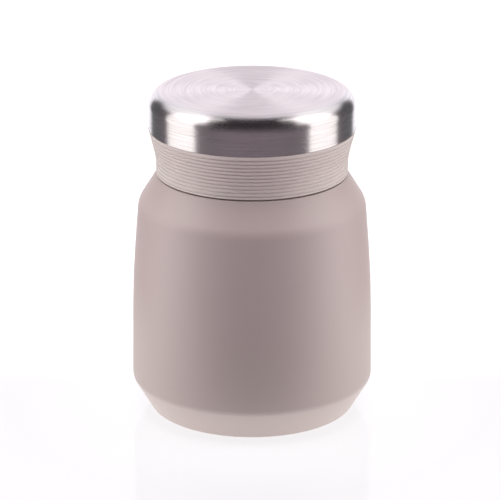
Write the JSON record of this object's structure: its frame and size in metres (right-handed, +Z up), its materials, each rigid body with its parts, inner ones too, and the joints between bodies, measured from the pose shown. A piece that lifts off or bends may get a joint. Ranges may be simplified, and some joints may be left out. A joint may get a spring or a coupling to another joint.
{
  "type": "insulated food jar",
  "caption": "Wide-mouthed vacuum food jar with a powder-coated steel body and a ribbed screw lid that carries a brushed steel cap.",
  "frame": {"origin": "centre of the flat foot that the jar stands on", "axes": "+Z up along the jar's own axis, from the foot to the steel cap; the jar is round, so X and Y are alike"},
  "size_m": [0.1, 0.1, 0.1368],
  "materials": {
    "coated_steel": "satin taupe powder coat; bare satin steel above the ledge, where the lid's skirt covers it",
    "liner_steel": "satin stainless steel",
    "cap_steel": "fine circular brushing, clear",
    "copper_foil": "bright copper foil",
    "solder_glass": "dark fused glass solder",
    "getter_alloy": "pressed grey powder",
    "lid_plastic": "satin taupe polypropylene",
    "plug_plastic": "satin taupe polypropylene",
    "insulation_foam": "closed-cell foam",
    "bonding_tape": "white foam tape",
    "seal_silicone": "matt translucent silicone",
    "pad_silicone": "matt silicone"
  },
  "bodies": {
    "jar": {"outer_shell": "coated_steel", "inner_vessel": "liner_steel", "inner_base": "liner_steel", "copper_wrap": "copper_foil", "copper_disc": "copper_foil", "vacuum_base": "liner_steel", "sealing_bead": "solder_glass", "getter_pan": "liner_steel", "getter_pellet": "getter_alloy", "base_cover": "lid_plastic", "base_pad": "pad_silicone"},
    "seal": {"lid_seal": "seal_silicone"},
    "lid": {"lid_grip": "lid_plastic", "lid_plug": "plug_plastic", "plug_foam": "insulation_foam", "deck_foam": "insulation_foam", "cap_tape": "bonding_tape", "cap_shell": "cap_steel"}
  },
  "joints": [
    {"name": "lid_rise", "type": "slide", "parent": "jar", "child": "seal", "axis": [0, 0, 1], "range_m": [0, 0.04801]},
    {"name": "lid_turn", "type": "hinge", "parent": "seal", "child": "lid", "pos_m": [0, 0, 0.12], "axis": [0, 0, 1], "range_deg": [0, 1440]}
  ],
  "couplings": [
    {"joint": "lid_rise", "follows": "lid_turn", "m_per_rad": 0.0019099}
  ]
}
